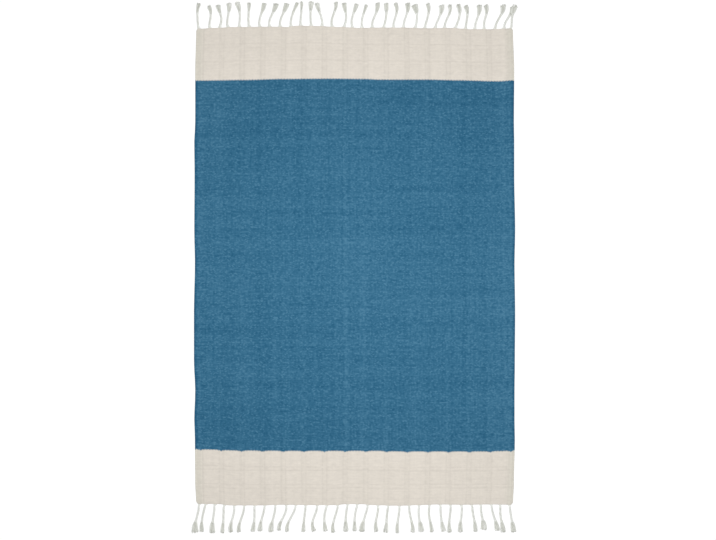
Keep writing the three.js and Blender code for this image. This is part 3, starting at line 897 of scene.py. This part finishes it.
def loose_fibres(end, rng):
    """A few single fibres that stand off each brush in a wide curve, a power of the share of its
    length, and come down to the floor in a low hump."""
    count = len(end.strands)
    step = np.linspace(0, 1, FIBRE_STEPS)
    size = (count, LOOSE_FIBRES, 1)
    share = KNOT_AT + (1 - KNOT_AT) * (0.05 + 0.97 * step * rng.uniform(*FIBRE_SHARES, size))
    middle, sideways = strand_curves(end, share.reshape(count, -1))
    shape = (count, LOOSE_FIBRES, FIBRE_STEPS, 3)
    aside = rng.uniform(-FIBRE_REACH, FIBRE_REACH, size) * step**FIBRE_POWER
    aside = aside + rng.uniform(-FIBRE_ROOT, FIBRE_ROOT, size)
    paths = middle.reshape(shape) + aside[..., None] * sideways.reshape(shape)
    paths[..., 2] = FIBRE_HIGH - FIBRE_SINK * step + FIBRE_HUMP * np.sin(np.pi * step)
    paths = paths.reshape(-1, FIBRE_STEPS, 3)
    return Bundle(paths, np.array(FIBRE_RADIUS), sides=4, light=np.array(0.4))


print("loose fibres:", STRANDS * LOOSE_FIBRES)

# %% [markdown]
# Gathered ends
#
# Between the cloth's edge and its cord a strand is a small fan of warp ends, which hides where the
# plies begin. The plies could spread out themselves, but a ply is thicker than a warp end.

# %% Gathered ends
GATHERED, FAN_STEPS, GATHERED_RADIUS = 7, 7, 1.05
FAN_HALF, FAN_REACH = 6.5, 0.14  # half of the fan's width, and the share of the strand it runs along
FAN_MOST = WIDTH / 2 - 4  # no fan begins further out
HIDDEN = 3.0  # how far into the cloth the ends begin
FAN_STRAY = 0.5
GOAL_HALF, GOAL_RISE, GOAL_ARCH = 2.0, 1.6, 2.2  # the arch over a cord: half width, rise, half angle
BENT_AT = (0.55, 0.42, 0.5)  # where a curve bends: shares of its way in x, y and z


def gathered_ends(end, rng):
    """The warp ends that run from the cloth's edge together into every cord: a curve of the second
    degree from the edge to the side of the cord, bent near its middle."""
    step = np.linspace(0, 1, FAN_STEPS)
    offset = np.linspace(-1, 1, GATHERED)[None, :, None]
    root = end.roots[:, None, None]
    stray = rng.normal(0, FAN_STRAY, (len(root), GATHERED, 1))
    from_x = np.clip(root + FAN_HALF * offset + stray, -FAN_MOST, FAN_MOST)
    edge_x, edge_y = lie(from_x, np.full_like(from_x, end.outward * LENGTH / 2))
    middle, sideways = strand_curves(end, np.array([FAN_REACH]))
    goal = middle[:, :, None] + GOAL_HALF * offset[..., None] * sideways[:, :, None]
    goal[..., 2] += GOAL_RISE * np.cos(GOAL_ARCH * offset)
    begin = np.stack([edge_x, edge_y - HIDDEN * end.outward, np.full_like(edge_x, THICKNESS / 2)], -1)
    bent = begin + (goal - begin) * BENT_AT
    share = step[None, None, :, None]
    curve = (1 - share) ** 2 * begin + 2 * share * (1 - share) * bent + share**2 * goal
    paths = curve.reshape(-1, FAN_STEPS, 3)
    return Bundle(paths, np.array(GATHERED_RADIUS), sides=6, light=np.array(0.8))


print("gathered ends:", STRANDS * GATHERED)

# %% [markdown]
# Both fringes
#
# All the yarns of an end are joined into one mesh. What would sink into the floor is pressed flat on
# it, as soft yarn is, and every yarn gets a tone by chance on top of the light of its kind.

# %% Both fringes
FLOOR_GAP = 0.05
FRINGE_SEEDS = (11, 23)

for end, seed in zip(ENDS, FRINGE_SEEDS):
    rng = np.random.default_rng(seed)
    parts, tones = [], []
    for make in (cords, knots, brushes, loose_fibres, gathered_ends):
        bundle = make(end, rng)
        points, faces = yarns(bundle.paths, bundle.radii, bundle.sides)
        points[:, 2] = np.maximum(points[:, 2], FLOOR_GAP)
        parts.append((points, faces))
        yarn_tones = bundle.light + rng.uniform(0, 1, len(bundle.paths))
        tones.append(yarn_tones.repeat(bundle.paths.shape[1] * bundle.sides))
    points, faces = joined(parts)
    point_tones = np.concatenate(tones)
    made = piece(f"strands_{end.name}", points, faces, strand_cotton, "natural_cotton", tone=point_tones)
    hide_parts(f"fringe_{end.name}")

# %% [markdown]
# The cloth's pieces
#
# The sheet was woven flat and lies flat. The selvedges and the strands are its weft and its warp,
# and all the pieces ride on the rug's one body.

# %% [markdown]
# Floor, light and camera
#
# The photograph looks straight down at the rug on a white ground. The floor glows a little, so that
# it stays white under a light that suits the cloth. A wide soft lamp above, a little to the right of
# the middle, and an even glow from all round give its flat, gently falling light. A long lens keeps
# the view almost parallel.

# %% White ground
FLOOR_HALF = 20  # metres
FLOOR_DROP = 0.2 * MM  # keeps the floor clear of the underside
FLOOR_GREY, FLOOR_GLOW = 0.25, 0.8

floor_material, _, shader = cotton("white_ground", roughness=1.0, sheen=0.0)
shader.inputs["Base Color"].default_value = (FLOOR_GREY, FLOOR_GREY, FLOOR_GREY, 1.0)
shader.inputs["Specular IOR Level"].default_value = 0.0
shader.inputs["Emission Color"].default_value = (1.0, 1.0, 1.0, 1.0)
shader.inputs["Emission Strength"].default_value = FLOOR_GLOW
floor_corners = [(x * FLOOR_HALF, y * FLOOR_HALF, 0) for x, y in ((-1, -1), (1, -1), (1, 1), (-1, 1))]
floor_mesh = bpy.data.meshes.new("floor")
floor_mesh.from_pydata(floor_corners, [], [(0, 1, 2, 3)])
floor_mesh.materials.append(floor_material)
floor = bpy.data.objects.new("floor", floor_mesh)
floor.location.z = -FLOOR_DROP
scene = bpy.context.scene
scene.collection.objects.link(floor)
print("floor of", 2 * FLOOR_HALF, "m")

# %% Soft light
GLOW = 0.52
LAMP_AT, LAMP_SIZE, LAMP_POWER = (0.05, 0.0, 2.2), 1.2, 36.0

scene.view_settings.view_transform = "Standard"
scene.world = bpy.data.worlds.new("glow")
scene.world.use_nodes = True
glow = scene.world.node_tree.nodes["Background"]
glow.inputs["Color"].default_value = (1.0, 1.0, 1.0, 1.0)
glow.inputs["Strength"].default_value = GLOW

lamp_data = bpy.data.lights.new("soft_lamp", "AREA")
lamp_data.shape = "DISK"
lamp_data.size = LAMP_SIZE
lamp_data.energy = LAMP_POWER
lamp = bpy.data.objects.new("soft_lamp", lamp_data)
lamp.location = LAMP_AT
lamp.visible_camera = False
scene.collection.objects.link(lamp)
print("lamp at", LAMP_AT)

# %% Camera
PIXEL = 3.14 * MM  # the size of one of the photograph's pixels on the floor
FRAME_WIDTH = 716
FRAME_RIGHT, FRAME_BELOW = 3.43, 3.95  # pixels from the cloth's middle to the photograph's
LENS, SENSOR = 85.0, 36.0

camera_data = bpy.data.cameras.new("camera")
camera_data.lens, camera_data.sensor_width = LENS, SENSOR
camera = bpy.data.objects.new("camera", camera_data)
camera_height = FRAME_WIDTH * PIXEL * LENS / SENSOR
camera.location = (FRAME_RIGHT * PIXEL, MIDDLE * MM - FRAME_BELOW * PIXEL, camera_height)
scene.collection.objects.link(camera)
scene.camera = camera
print("camera at", [round(v, 3) for v in camera.location])

# %% Last update of the scene
bpy.context.view_layer.update()
